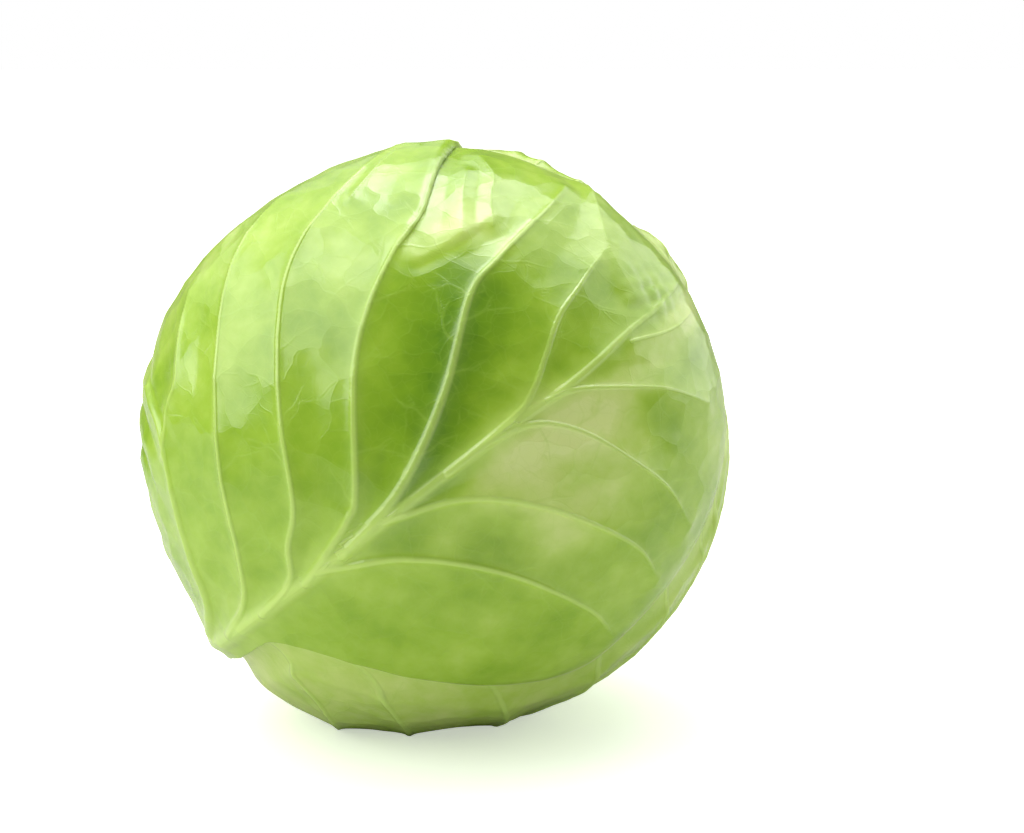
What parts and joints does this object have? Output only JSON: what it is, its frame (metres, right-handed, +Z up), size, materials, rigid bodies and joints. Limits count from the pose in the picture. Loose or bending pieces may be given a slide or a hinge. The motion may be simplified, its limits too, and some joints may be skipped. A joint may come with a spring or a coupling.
{
  "type": "cabbage head",
  "caption": "Round white cabbage head lying on its side, with a cut stem core, ribbed wrapper leaves and nested heart leaves.",
  "frame": {"origin": "middle of the underside of the whole head, on the surface that it rests on", "axes": "+Z up; +Y is the way a viewer in front looks; the cut stem points to -X and down"},
  "size_m": [0.1802, 0.1804, 0.1774],
  "materials": {
    "wrapper": "waxy green outer leaf, pale ribs, soft gloss",
    "under_wrapper": "paler green leaf under the outer leaves, soft gloss",
    "heart": "pale yellow-green inner leaf, crisp and moist",
    "stem": "pale pithy stem, dry cut face"
  },
  "bodies": {
    "root": {"stem_core": "stem", "heart_bud": "heart", "wrapper_leaf_front": "wrapper", "wrapper_leaf_foot": "wrapper", "wrapper_leaf_right": "wrapper", "wrapper_leaf_back": "wrapper", "wrapper_leaf_top": "wrapper", "wrapper_leaf_under_foot": "under_wrapper", "wrapper_leaf_under_back": "under_wrapper", "wrapper_leaf_under_top": "under_wrapper", "heart_leaf_01": "heart", "heart_leaf_02": "heart", "heart_leaf_03": "heart", "heart_leaf_04": "heart", "heart_leaf_05": "heart", "heart_leaf_06": "heart", "heart_leaf_07": "heart", "heart_leaf_08": "heart", "heart_leaf_09": "heart", "heart_leaf_10": "heart"}
  },
  "joints": []
}
